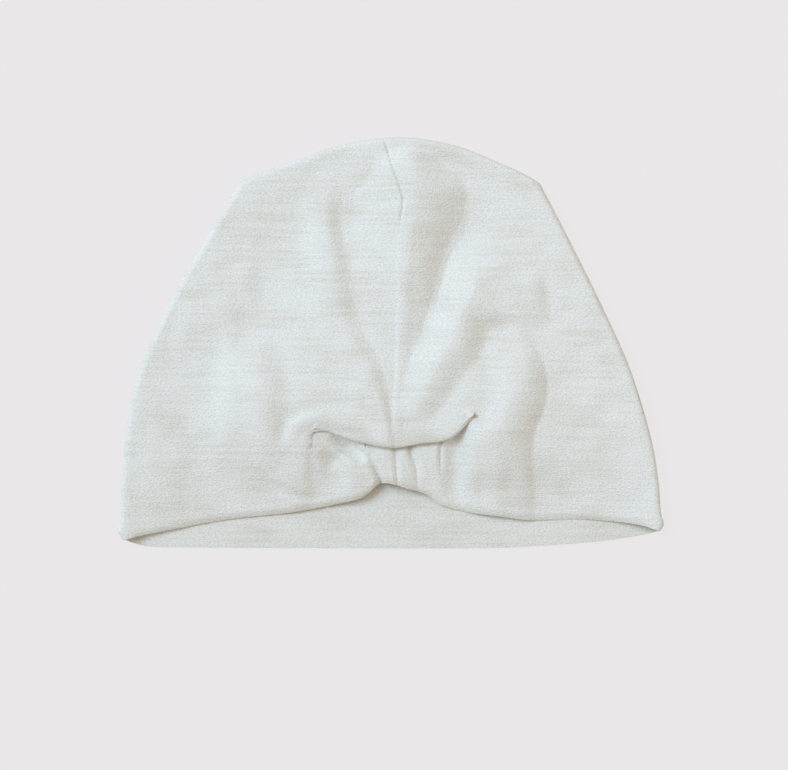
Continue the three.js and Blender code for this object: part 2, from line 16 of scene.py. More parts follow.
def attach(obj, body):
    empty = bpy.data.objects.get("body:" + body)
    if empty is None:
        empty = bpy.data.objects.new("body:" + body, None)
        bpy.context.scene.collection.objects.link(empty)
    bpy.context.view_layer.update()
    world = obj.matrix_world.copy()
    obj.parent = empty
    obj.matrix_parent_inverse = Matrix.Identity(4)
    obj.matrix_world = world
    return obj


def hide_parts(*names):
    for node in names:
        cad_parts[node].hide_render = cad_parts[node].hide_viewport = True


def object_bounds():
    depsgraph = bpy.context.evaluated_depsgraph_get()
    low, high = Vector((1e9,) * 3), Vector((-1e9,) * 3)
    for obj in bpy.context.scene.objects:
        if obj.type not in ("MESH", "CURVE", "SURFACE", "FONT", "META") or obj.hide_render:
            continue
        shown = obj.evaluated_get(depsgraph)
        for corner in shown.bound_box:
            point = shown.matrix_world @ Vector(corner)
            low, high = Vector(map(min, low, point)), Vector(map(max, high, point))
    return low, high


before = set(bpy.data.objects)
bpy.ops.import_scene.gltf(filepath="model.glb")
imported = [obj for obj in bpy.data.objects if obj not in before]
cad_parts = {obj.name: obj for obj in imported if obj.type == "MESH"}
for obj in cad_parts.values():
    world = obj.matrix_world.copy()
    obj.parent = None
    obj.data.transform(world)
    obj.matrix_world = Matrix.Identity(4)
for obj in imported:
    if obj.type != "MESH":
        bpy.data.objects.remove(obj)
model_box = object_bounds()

low, high = (Vector(corner) for corner in model_box)
size = high - low
print("model", [round(v * 1000, 1) for v in size], "mm")

# %% [markdown]
# Every length below is in millimetres of the cap as it is sewn. One number ties them to the model: how long
# such a millimetre is in the scene, taken from the model's width. The plan's own zero lies a little off the
# box's middle.

# %% Scale and plan zero
CAP_WIDTH = 265.88
MM = size.x / CAP_WIDTH
PLAN_MIDDLE = (0.068, 0.698)
print("one millimetre is", round(MM, 6), "m")

# %% [markdown]
# ## Camera
# A garment laid out for sale is shown from straight above through a long lens, which keeps its outline
# true. A camera over one metre up does the same. It looks at a point a little below the cap's middle, so
# the cap sits in the upper part of the view. The lens is worked out from the width that is seen at the
# height of the cap's side fold, `EDGE_ROLL`.

# %% Camera straight above
EDGE_ROLL = 4.5
CAMERA_HEIGHT = 1.6
VIEW_WIDTH = 384.0
AIM = (1.4, -20.4)
camera_data = bpy.data.cameras.new("camera")
camera_data.sensor_width = 36.0
camera_data.lens = camera_data.sensor_width * (CAMERA_HEIGHT - EDGE_ROLL * MM) / (VIEW_WIDTH * MM)
camera = bpy.data.objects.new("camera", camera_data)
camera.location = (AIM[0] * MM, AIM[1] * MM, CAMERA_HEIGHT)
bpy.context.scene.collection.objects.link(camera)
bpy.context.scene.camera = camera
print("lens", round(camera_data.lens, 1), "mm")

# %% [markdown]
# ## Light and floor
# White cloth on a pale ground needs very soft light, or its folds turn hard. A large panel at the upper
# left gives the folds their direction, a small one close by on the right lifts the slopes that face away
# from it, and a bright surround fills the rest. The large panel is a little cool and the surround a little
# warm, so slopes that face the panel look bluish and the hollows look ivory.

# %% Studio light
def area_light(name, place, width, power, colour):
    data = bpy.data.lights.new(name, "AREA")
    data.shape = "SQUARE"
    data.size = width
    data.energy = power
    data.color = colour
    light = bpy.data.objects.new(name, data)
    light.location = place
    light.rotation_euler = (-Vector(place)).to_track_quat("-Z", "Y").to_euler()
    bpy.context.scene.collection.objects.link(light)
    return light


area_light("key_panel", (-4.3, 2.6, 5.6), 3.6, 474.0, (0.54, 0.695, 0.87))
area_light("right_panel", (0.55, 0.25, 0.6), 0.3, 0.6, (1.0, 0.96, 0.92))
print(len(bpy.data.lights), "light panels")

# %% [markdown]
# The surround does two jobs. The cap is lit by its warm fill, and the camera sees a neutral backdrop in its
# place, so the ground looks the same colour all the way to the horizon.

# %% Surround
FILL_COLOUR = (1.0, 0.9, 0.75, 1.0)
FILL_STRENGTH = 0.525
BACKDROP_COLOUR = (0.815, 0.8, 0.807, 1.0)
world = bpy.data.worlds.new("surround")
world.use_nodes = True
sky = world.node_tree
fill = sky.nodes["Background"]
fill.inputs["Color"].default_value = FILL_COLOUR
fill.inputs["Strength"].default_value = FILL_STRENGTH
backdrop = sky.nodes.new("ShaderNodeBackground")
backdrop.inputs["Color"].default_value = BACKDROP_COLOUR
seen = sky.nodes.new("ShaderNodeLightPath")
choice = sky.nodes.new("ShaderNodeMixShader")
sky.links.new(seen.outputs["Is Camera Ray"], choice.inputs["Fac"])
sky.links.new(fill.outputs["Background"], choice.inputs[1])
sky.links.new(backdrop.outputs["Background"], choice.inputs[2])
sky.links.new(choice.outputs["Shader"], sky.nodes["World Output"].inputs["Surface"])
bpy.context.scene.world = world
bpy.context.scene.view_settings.view_transform = "Standard"
print("fill strength", FILL_STRENGTH)

# %% [markdown]
# The ground is a plain pale board. Most of its brightness is a glow of its own, as on a light table, so the
# cap's soft shadow stays faint. It lies a hair below the cap, so the two never share a plane.

# %% Pale floor
FLOOR_DROP = 0.0002
FLOOR_REACH = 3.0
floor_mesh = bpy.data.meshes.new("floor")
floor_bm = bmesh.new()
bmesh.ops.create_grid(floor_bm, x_segments=1, y_segments=1, size=FLOOR_REACH)
floor_bm.to_mesh(floor_mesh)
floor_bm.free()
floor = bpy.data.objects.new("floor", floor_mesh)
floor.location.z = -FLOOR_DROP
bpy.context.scene.collection.objects.link(floor)
floor_material = bpy.data.materials.new("pale_board")
floor_material.use_nodes = True
board = floor_material.node_tree.nodes["Principled BSDF"]
board.inputs["Base Color"].default_value = (0.05, 0.05, 0.052, 1.0)
board.inputs["Roughness"].default_value = 0.9
board.inputs["Specular IOR Level"].default_value = 0.1
board.inputs["Emission Color"].default_value = (1.0, 0.977, 0.988, 1.0)
board.inputs["Emission Strength"].default_value = 0.768
floor_mesh.materials.append(floor_material)
print("floor", 2 * FLOOR_REACH, "m wide")

# %% [markdown]
# ## Curves from tables
# A pattern cutter marks a few points and joins them with a curved ruler. The helper `curve` is that ruler:
# it takes a table with named columns and reads one column smoothly at any value of another.

# %% Tables and smooth curves
def table(columns, rows):
    return dict(zip(columns.split(), (np.array(column, float) for column in zip(*rows))))


def smooth(t):
    t = np.clip(t, 0.0, 1.0)
    return t * t * (3.0 - 2.0 * t)


def mix(a, b, t):
    return a + (b - a) * t


def curve(rows, by, column):
    at, value = rows[by], rows[column]
    before, after = np.arange(len(at)) - 1, np.arange(len(at)) + 1
    before[0], after[-1] = 0, len(at) - 1
    slope = (value[after] - value[before]) / (at[after] - at[before])

    def read(place):
        place = np.asarray(place, float)
        i = np.clip(np.searchsorted(at, place, side="right") - 1, 0, len(at) - 2)
        span = at[i + 1] - at[i]
        t = np.clip((place - at[i]) / span, 0.0, 1.0)
        bend = (slope[i] * (1 - t) - slope[i + 1] * t) * span * t * (1 - t)
        return mix(value[i], value[i + 1], smooth(t)) + bend

    return read


# %% [markdown]
# ## The cap's outline
# Seen from above, the flattened cap has two long sides, a crown that closes between two blunt corners, and
# two hems, the back one drawn up in the middle. The corners at the crown are where its darts end.

# %% Outline, seam and hems
LEFT_SIDE = table("y x", [
    (-95.4, -130.4), (-91.4, -133), (-85.5, -131.7), (-66, -131.1), (-43.6, -129), (-12.6, -122.4),
    (23, -106.3), (52.4, -89.5), (79.3, -73)])
RIGHT_SIDE = table("y x", [
    (-91, 131), (-87.8, 133), (-82, 131.6), (-68, 130.5), (-46.4, 126.9), (-12.3, 116.6),
    (21.9, 101.2), (54.8, 84.8), (78.2, 72.6)])
CROWN = table("x y", [
    (-73, 79.3), (-67, 82.1), (-48.9, 89), (-25.7, 96.7), (-3.9, 100.6), (14.2, 100.2), (33.7, 96.1),
    (55.9, 87.1), (68, 81.3), (72.6, 78.2)])
BACK_HEM = table("x y", [
    (-130.4, -95.5), (-120.3, -93), (-104.7, -90), (-89, -87), (-72.6, -84.6), (-48.2, -82), (-28, -78.2),
    (-15, -75), (-10.2, -71.9), (-6.3, -68.2), (-3, -67.6), (2, -68.4), (8, -70.3), (16.6, -72.9),
    (24, -78), (36, -81.8), (53, -84), (68.7, -86), (92, -85.4), (113.5, -87), (123.5, -88.8),
    (131, -91.2)])
FRONT_HEM = table("x y", [
    (-130.4, -95.4), (-119.4, -98.3), (-96, -99), (-49, -99.3), (50, -99.3), (79.4, -97.8), (102.8, -95.9),
    (120, -93.4), (131, -91)])
SEAM = table("y x", [
    (-70, 1.8), (-50, 1), (-30, 2.5), (-10, 3.4), (20, 4), (50, 4), (58, 4.2), (66.5, 5.6), (72, 5.4),
    (79, 3.2), (87, 0.2), (95, -2), (100.6, -3.9)])
left_x = curve(LEFT_SIDE, "y", "x")
right_x = curve(RIGHT_SIDE, "y", "x")
crown_y = curve(CROWN, "x", "y")
back_hem_y = curve(BACK_HEM, "x", "y")
front_hem_y = curve(FRONT_HEM, "x", "y")
seam_x = curve(SEAM, "y", "x")
print("outline", len(LEFT_SIDE["y"]) + len(RIGHT_SIDE["y"]) + len(CROWN["x"]), "points")

# %% [markdown]
# ## The pouch
# Elastic draws the middle of the back hem in, so the cloth above has more width than the hem can take. It
# falls over the casing in a soft lip. In the first table, `fold` says how fully the cloth doubles back
# under that lip, `step` how much lower it lies on the side of the hem, and `lean` how far the doubling
# turns away from straight up the cap. In the second, `up` is how far the pouch lifts the cloth, and `base`
# where that lift starts to fade towards the crown.

# %% Line that the pouch ends on
GATHER = table("x y fold step lean", [
    (-128.2, -38, 0, 0, 0), (-85, -44, 0, 0, 0), (-62, -46.5, 0, 0, 0), (-55, -48, 0, 0, 0),
    (-50, -49.5, 0, 0, 0), (-45.3, -48.5, 0, 0, 0), (-41.2, -46, 0, 0.1, 0), (-38.4, -43.6, 0, 0.35, 0),
    (-36.6, -42.4, 1, 0.4, 0), (-31, -42, 1, 0.65, 0), (-25.5, -44.2, 1, 0.85, 0), (-15, -47.6, 1, 1, 0),
    (1, -50.2, 1, 1, 0), (14, -48.3, 1, 1, 0), (24, -47.2, 1, 1, 0), (29.5, -45.4, 1, 1, 15),
    (34, -41.6, 1, 0.6, 31), (38.5, -36.8, 0.8, 0.26, 33), (42, -34, 0.3, 0.03, 30), (46, -31.5, 0, 0, 20),
    (54, -28, 0, 0, 10), (66, -26, 0, 0, 0), (119.8, -24, 0, 0, 0)])
POUCH = table("x up base", [
    (-130, 0, -38), (-80, 1, -42), (-62, 2.2, -44), (-50, 3.4, -45), (-38, 4.4, -45), (-25, 4.2, -46),
    (-5, 3.4, -48), (14, 3, -48), (26, 3.8, -46), (36, 4.8, -40), (48, 3.4, -34), (60, 2.2, -30),
    (76, 1, -26), (92, 0, -24), (131, 0, -24)])
POUCH_REACH = 62.0
gather_y = curve(GATHER, "x", "y")
gather_lean = curve(GATHER, "x", "lean")
pouch_up = curve(POUCH, "x", "up")
pouch_base = curve(POUCH, "x", "base")


def gather_fold(x):
    return np.clip(curve(GATHER, "x", "fold")(x), 0.0, 1.0)


def gather_step(x):
    return np.clip(curve(GATHER, "x", "step")(x), 0.0, 1.0)


def pouch_height(x, y):
    return pouch_up(x) * (1 - smooth((y - pouch_base(x)) / POUCH_REACH))


print("pouch lifts the cloth by up to", POUCH["up"].max(), "mm")

# %% [markdown]
# Cut through from the hem to the crown, the doubled cloth runs in under the lip, bends, comes back out and
# turns over the lip. `flat` is where each point lies when the cloth isn't doubled, `back` where it lies
# when it is, both measured from the lip's line towards the crown, and `up` is its height.

# %% Section through the lip
LIP_RADIUS = 3.2
LIP_POINTS = 5
TUCK_DEPTH = 7.0
TUCK_GAP = 0.8
POUCH_TOP = TUCK_GAP + 2 * LIP_RADIUS


def pouch_section():
    bend = TUCK_GAP / 2
    rows = [(-9, 0.5, 0), (-7, TUCK_DEPTH - bend, 0), (-5.5, TUCK_DEPTH, bend),
            (-4, TUCK_DEPTH - bend, TUCK_GAP)]
    for i in range(LIP_POINTS):
        angle = math.pi * (i / (LIP_POINTS - 1) - 0.5)
        back = LIP_RADIUS * (1 - math.cos(angle))
        up = TUCK_GAP + LIP_RADIUS * (1 + math.sin(angle))
        rows.append((-2 + 1.5 * i, back, up))
    rows.append((6.5, LIP_RADIUS + 4, POUCH_TOP))
    steps = [(i / (len(rows) - 1), *row) for i, row in enumerate(rows)]
    return table("step flat back up", steps)


SECTION = pouch_section()
section_flat, section_back, section_up = (curve(SECTION, "step", name) for name in ("flat", "back", "up"))
print("full lip", POUCH_TOP, "mm thick")

# %% [markdown]
# ## Folds
# The folds that fan out from the gather each have a path in `x` and `y`, mostly down towards the hem, a
# height, `rise`, and their own widths to the `left` and `right` of the path, because a fold in soft knit
# leans. A flank can be round, or even like a plain slope, or full, so that it stays high and drops at its
# foot, or creased, so that it drops at once. A hollow is a fold whose rise is below zero.

# %% Table of folds
FOLD_COLUMNS = "x y rise left right"
SHAPES = {"round": (2, 2), "even": (1.4, 1.2), "full": (2, 1), "creased": (1, 2)}


def fold(left, right, *rows):
    return dict(table(FOLD_COLUMNS, rows), shapes=(SHAPES[left], SHAPES[right]))


FOLDS = {
    "shoulder by the seam": fold("even", "even",
        (4, 97, 0, 12, 8), (7.6, 89, 4.4, 20, 15), (10.5, 79, 6.4, 28, 25), (11.2, 66, 7, 30, 25),
        (10.2, 56, 5.8, 30, 21), (9.3, 46, 4.6, 28, 17), (8.3, 36.3, 4, 26, 15), (6.8, 21.7, 2.8, 22, 12.5),
        (5.4, 7.1, 1.7, 18, 10), (3.9, -5, 0.6, 14, 6), (3, -14, 0, 10, 5)),
    "step right of the seam": fold("creased", "round",
        (12, 97, -0.8, 8, 10), (23, 89.5, -3.6, 15, 20), (34, 80, -2.8, 22, 28), (38, 67, -2.8, 24, 28),
        (37, 57, -3.2, 24, 26), (31.5, 48, -3.6, 19, 24), (26.4, 38, -3.6, 16, 20), (23, 24, -3, 14, 16),
        (19, 9, -1.8, 12, 12), (14.5, -3, -0.6, 8, 10), (10.5, -10, 0, 6, 8)),
    "left ridge": fold("round", "round",
        (-31.2, 86, 0, 14, 8), (-31.2, 75.3, 1, 14, 8.5), (-32.2, 63, 2.2, 14, 8.5),
        (-31.2, 51, 3.4, 15, 9), (-29.2, 38.7, 3.4, 15, 10), (-27.8, 26.5, 2.4, 16, 10),
        (-25.8, 14.4, 2.5, 18, 10), (-20.5, 2.2, 2.6, 19, 9), (-12.5, -10, 2.4, 19, 8),
        (-7.8, -22.2, 2.3, 18, 6.5), (-4.4, -33, 1.8, 14, 5), (-2, -42, 1.5, 10, 4), (-1, -49, 1, 8, 3)),
    "first right ridge": fold("even", "round",
        (44, 54, 0, 14, 30), (43, 43, 1.8, 14, 34), (42, 34, 3.2, 15, 36), (40.5, 26, 4.2, 16, 32),
        (37, 19.5, 4.8, 16, 21), (34, 14, 4.9, 16, 16.5), (30.5, 2.2, 5.4, 16, 16),
        (22.5, -10, 5, 14, 14.5), (17, -22.2, 3.8, 12, 13), (13.5, -30, 2.2, 10, 10), (11, -38, 0, 8, 7)),
    "second right ridge": fold("round", "full",
        (51.6, 4, 0, 10, 12), (56, -2.7, 1.8, 13, 13), (59.9, -11.4, 3.5, 16, 14),
        (61.9, -21.2, 4.4, 16, 14), (59.9, -29.5, 4.4, 16, 14), (57.5, -39.2, 3.8, 16, 12.5),
        (56.5, -49, 3.3, 15, 12), (57, -61, 2.8, 14, 12), (58, -73.3, 2.2, 14, 12),
        (58.5, -92, 1.4, 14, 12)),
    "seam ridge": fold("round", "round",
        (4.8, 62, 0, 2.6, 6), (4.8, 50, 0.4, 2.6, 7), (4.8, 20, 0.5, 2.6, 7), (4, -10, 0.6, 2.6, 6),
        (3, -30, 0.6, 2.6, 5), (1.6, -48, 0.4, 2.6, 4)),
    "right dimple": fold("round", "round",
        (66, 36, 0, 14, 8), (68, 27, 2, 18, 9), (69, 17, 2.4, 18, 9), (71, 7, 0, 14, 8)),
    "outer left ridge, upper": fold("even", "round",
        (-86, 25, 0, 18, 10), (-84, 15, 2.4, 24, 15), (-82, 6, 2.2, 26, 14), (-79, -4, 0, 24, 10)),
    "small left crest": fold("round", "round",
        (-74, 40, 0, 14, 8), (-72, 30, 1.8, 18, 11), (-70, 20, 1.6, 18, 10), (-68, 11, 0, 14, 8)),
    "outer left ridge, lower": fold("even", "round",
        (-76, 10, 0, 34, 12), (-71, -2.7, 2.6, 42, 17), (-68, -12, 4, 45, 18), (-66, -22.2, 4.8, 46, 18),
        (-65, -32, 4.6, 44, 17), (-62, -41.7, 3.4, 34, 13), (-57, -49, 1.6, 22, 9), (-50, -53, 0, 10, 6)),
    "left hollow": fold("round", "round",
        (-85, 19, 0, 20, 11), (-87, 7, -1.8, 24, 12), (-88, -10, -2.3, 26, 12), (-90, -28, -2, 26, 14),
        (-94, -48, -1.2, 24, 14), (-100, -68, 0, 20, 14)),
    "rolled lip": fold("round", "round",
        (-1.5, -48, 0.4, 6, 4), (-9.3, -43.6, 0.9, 6, 5), (-19, -39.2, 1.1, 6, 5),
        (-29.7, -36.3, 1.2, 6, 5), (-38.5, -36.4, 1.1, 6, 5), (-44.8, -39.4, 0.9, 6, 5),
        (-47.6, -44.5, 0.6, 5, 5), (-46.3, -50, 0, 5, 4)),
    "crease above the lip": fold("round", "round",
        (-5.4, -41.7, 0, 6, 5), (-14.1, -34.3, -0.6, 7, 5), (-22.4, -30.4, -0.8, 7, 5),
        (-33.6, -29.4, -0.8, 7, 5), (-43.4, -32.4, -0.5, 6, 5), (-51, -38.4, -0.4, 5, 4),
        (-53.8, -45.4, -0.4, 4, 4), (-52, -51, 0, 4, 4)),
    "bulge under the lip": fold("round", "round",
        (-24, -53, 0, 5, 6), (-20, -58, 1.4, 6, 8), (-18, -64, 1.6, 7, 9), (-20, -71, 1.2, 8, 9),
        (-26, -76, 0, 8, 8)),
    "hollow under the lip": fold("round", "round",
        (-34, -51, 0, 4, 4), (-31, -54, -1.6, 6, 5), (-28, -57, -2.8, 6.5, 5), (-25.5, -60, -1, 6, 5),
        (-24, -63, 0, 4, 4)),
    "crescent crease": fold("round", "round",
        (-66, -58, 0, 4, 4), (-60.5, -66, -0.7, 4, 4), (-51, -71.6, -0.9, 4, 4), (-40, -74.6, -0.7, 4, 4),
        (-29.7, -75.8, 0, 4, 4)),
}
print(len(FOLDS), "folds")

# %% [markdown]
# A fold is highest on its path and fades with the distance from it, so the first thing to know about any
# point of the cloth is how far it is from a path, and on which side.

# %% Distance to a path
PATH_STEPS = 5


def nearest(path, x, y):
    """Distance to a path, the side it is on from -1 to 1, and the place along the path in steps."""
    best = np.full(np.shape(x), np.inf)
    side, place = np.ones(np.shape(x)), np.zeros(np.shape(x))
    for step, ((ax, ay), (bx, by)) in enumerate(zip(path[:-1], path[1:])):
        dx, dy = bx - ax, by - ay
        t = np.clip(((x - ax) * dx + (y - ay) * dy) / (dx * dx + dy * dy), 0.0, 1.0)
        ox, oy = x - ax - dx * t, y - ay - dy * t
        distance = np.hypot(ox, oy)
        turn = (dx * oy - dy * ox) / (math.hypot(dx, dy) * np.maximum(distance, 1e-6))
        closer = distance < best
        best, side, place = (np.where(closer, new, old) for new, old in
                             ((distance, best), (turn, side), (step + t, place)))
    return best, side, place


def rounded(rows):
    """A finer path through the rows of a fold, with all of its columns."""
    columns = {name: rows[name] for name in FOLD_COLUMNS.split()}
    count = len(rows["x"])
    columns["step"] = np.arange(count, dtype=float)
    at = np.linspace(0, count - 1, PATH_STEPS * (count - 1) + 1)
    return {name: curve(columns, "step", name)(at) for name in columns}


def fold_heights(x, y, folds):
    total = np.zeros(np.shape(x))
    for rows in folds.values():
        path = rounded(rows)
        distance, side, place = nearest(list(zip(path["x"], path["y"])), x, y)
        steps = np.arange(len(path["x"]))
        rise = np.interp(place, steps, path["rise"])
        flanks = []
        for name, (a, b) in zip(("left", "right"), rows["shapes"]):
            share = np.clip(distance / np.interp(place, steps, path[name]), 0.0, 1.0)
            flanks.append((1 - share**a) ** b)
        total += rise * mix(flanks[1], flanks[0], (1 - side) / 2)
    return total


# %% [markdown]
# The distance to the outline matters too, for the fold at the cap's sides. The mouth isn't a fold, so there
# the outline runs straight on below both hems.

# %% Outline as a path
MOUTH_RUN_ON = 40.0


def outline_path(step=1.0):
    left_y = np.arange(LEFT_SIDE["y"][0], LEFT_SIDE["y"][-1], step)
    crown_x = np.arange(CROWN["x"][0], CROWN["x"][-1], step)
    right_y = np.arange(RIGHT_SIDE["y"][-1], RIGHT_SIDE["y"][0], -step)
    path = [(float(left_x(left_y[0])), left_y[0] - MOUTH_RUN_ON)]
    path += list(zip(left_x(left_y), left_y)) + list(zip(crown_x, crown_y(crown_x)))
    path += list(zip(right_x(right_y), right_y))
    return path + [(float(right_x(right_y[-1])), right_y[-1] - MOUTH_RUN_ON)]


OUTLINE = outline_path()
print("outline path", len(OUTLINE), "points")

# %% [markdown]
# ## Heights
# Laid flat, the cap is a shallow cushion of air between two layers. The outer layer turns over at the sides
# in a plump fold, lies a little lower inside it, and swells again towards the middle. It sinks to the front
# layer at the hem, whose edge is turned under. At the crown the seam pulls a narrow groove into the cloth.

# %% Height of the back
HEIGHTS = table("y fold swell", [
    (-100, 4.2, 1), (-77, 5.2, 2), (-50, 6.4, 3.7), (-30, 7.4, 4.3), (10, 7.6, 4.9), (60, 7.6, 4.9),
    (100, 7.6, 3.4)])
SWELL_START = 30.0
SWELL_REACH = 72.0
EDGE_DIP = 3.0
EDGE_DIP_REACH = 62.0
HEM_SINK = table("x down", [
    (-131, 0.8), (-118, 2.2), (-90, 3.6), (-50, 3.9), (-20, 2.4), (-8, 0.8), (4, 0.9), (16, 2.8), (25, 3.6),
    (50, 4), (80, 4), (105, 3.6), (119, 2.4), (131, 0.5)])
HEM_SINK_REACH = 36.0
HEM_TURN = 1.8
HEM_TURN_REACH = 4.0
SEAM_GROOVE = table("y down", [(-60, 0), (52, 0), (58, 0.4), (66, 0.8), (90, 0.9), (101, 0.9)])
SEAM_GROOVE_WIDTH = 1.8
UNEVENNESS = table("rise size seed", [(0.35, 22, 1.5), (0.15, 8, 4.5)])
FOLD_FADE = 10.0
ROLL_SQUARENESS = 3.6
fold_up = curve(HEIGHTS, "y", "fold")
swell_up = curve(HEIGHTS, "y", "swell")
hem_sink = curve(HEM_SINK, "x", "down")
seam_groove_down = curve(SEAM_GROOVE, "y", "down")


def roll(distance):
    """How far the edge fold has turned level, from 0 at the outline to 1."""
    inward = np.maximum(1 - distance / EDGE_ROLL, 0.0)
    return (1 - inward**ROLL_SQUARENESS) ** (1 / ROLL_SQUARENESS)


def wander(x, y, size, seed):
    """Slow random unevenness between about -1 and 1, with bumps of the given size."""
    values = [noise.noise(Vector((px / size, py / size, seed))) for px, py in zip(x.ravel(), y.ravel())]
    return 2 * np.array(values).reshape(x.shape)


def back_height(x, y, distance):
    reach = smooth((distance - SWELL_START) / (SWELL_REACH - SWELL_START))
    dip = EDGE_DIP * smooth((distance - EDGE_ROLL) / EDGE_DIP_REACH)
    over_hem = y - back_hem_y(x)
    sink = hem_sink(x) * (1 - smooth(over_hem / HEM_SINK_REACH))
    turn = HEM_TURN * np.clip(1 - over_hem / HEM_TURN_REACH, 0, 1) ** 2 * smooth(distance / FOLD_FADE)
    folds = fold_heights(x, y, FOLDS)
    for rise, bump, seed in zip(*UNEVENNESS.values()):
        folds = folds + rise * wander(x, y, bump, seed)
    aside = np.clip(1 - abs(x - seam_x(y)) / SEAM_GROOVE_WIDTH, 0, 1)
    groove = seam_groove_down(y) * aside**2 * smooth(distance / EDGE_ROLL)
    level = EDGE_ROLL + fold_up(y) * roll(distance) - dip - sink - turn + swell_up(y) * reach
    return level + folds * smooth(distance / FOLD_FADE) - groove


# %% [markdown]
# ## From a flat grid to a piece of cloth
# A rectangle of cloth can be laid between four curves, as a sail is between its edges. Each panel starts as
# a flat bmesh grid, and every vertex is moved to its place on the panel. The distances along and across the
# cloth are kept as the piece's UV map in metres, so that the knit follows the cloth through its folds.

# %% Patch between four curves
def patch(u, v, bottom, top, start, end):
    zero, one = np.zeros_like(u), np.ones_like(u)
    points = []
    for i in range(2):
        corners = mix(mix(bottom(zero)[i], bottom(one)[i], u), mix(top(zero)[i], top(one)[i], u), v)
        points.append(mix(bottom(u)[i], top(u)[i], v) + mix(start(v)[i], end(v)[i], u) - corners)
    return points


def cloth_lengths(x, y, z, row_anchor, column_anchor):
    """Lengths across and along the cloth, equal to x at one column and to y at one row."""
    steps_across = np.hypot(np.diff(x, axis=1, prepend=x[:, :1]), np.diff(z, axis=1, prepend=z[:, :1]))
    across = np.cumsum(steps_across, axis=1)
    across *= np.sign(x[0, -1] - x[0, 0])
    across += x[:, column_anchor, None] - across[:, column_anchor, None]
    steps_along = np.hypot(np.diff(y, axis=0, prepend=y[:1]), np.diff(z, axis=0, prepend=z[:1]))
    along = np.cumsum(steps_along, axis=0)
    along += y[row_anchor] - along[row_anchor]
    return np.stack([across, along], axis=2)


# %% [markdown]
# Row 0 of every grid is its hem. Only the hem is a free edge, with the full soft rounding: the other edges
# are sewn to a neighbour, so they are rounded by a fifth of it.

# %% Grid and thickness
SEWN_EDGE = 0.2
WALL = 1.6
EDGE_ROUNDING = 0.9


def lay_grid(name, points, cloth, faces_up=True, keep=None):
    """A grid object with its vertices at points[row, column], and cloth lengths as its UV map."""
    rows, columns = points.shape[:2]
    bm = bmesh.new()
    bmesh.ops.create_grid(bm, x_segments=columns - 1, y_segments=rows - 1, size=0.5)
    index = {}
    for vertex in bm.verts:
        column = round((vertex.co.x + 0.5) * (columns - 1))
        row = round((vertex.co.y + 0.5) * (rows - 1))
        index[vertex] = row, column
        x, y, z = points[row, column]
        vertex.co = ((x - PLAN_MIDDLE[0]) * MM, (y - PLAN_MIDDLE[1]) * MM, z * MM)
    uv = bm.loops.layers.uv.new("cloth")
    for face in bm.faces:
        for loop in face.loops:
            loop[uv].uv = cloth[index[loop.vert]] * MM
    if keep is not None:
        loose = [face for face in bm.faces if not keep(*np.mean([index[v] for v in face.verts], axis=0))]
        bmesh.ops.delete(bm, geom=loose, context="FACES")
    weight = bm.edges.layers.float.new("bevel_weight_edge")
    for edge in bm.edges:
        if edge.is_boundary:
            sewn = any(index[vertex][0] > 0 for vertex in edge.verts)
            edge[weight] = SEWN_EDGE if sewn else 1.0
    if not faces_up:
        bmesh.ops.reverse_faces(bm, faces=bm.faces)
    mesh = bpy.data.meshes.new(name)
    bm.to_mesh(mesh)
    bm.free()
    for polygon in mesh.polygons:
        polygon.use_smooth = True
    piece = bpy.data.objects.new(name, mesh)
    bpy.context.scene.collection.objects.link(piece)
    print(name, rows, "x", columns, "points")
    return piece


def thicken(piece):
    solid = piece.modifiers.new("cloth thickness", "SOLIDIFY")
    solid.thickness = WALL * MM
    solid.offset = -1.0
    solid.use_even_offset = False
    solid.material_offset_rim = 1
    edge = piece.modifiers.new("soft cut edge", "BEVEL")
    edge.width = EDGE_ROUNDING * MM
    edge.segments = 3
    edge.limit_method = "WEIGHT"


# %% [markdown]
# ## Pleats at the casing
# Elastic pulls the middle of the hem into upright pleats: round-topped ribs with narrow slits between them.
# They are folds too, but tighter. They run only from the hem to the lip, and fade where the cloth goes in
# under it.

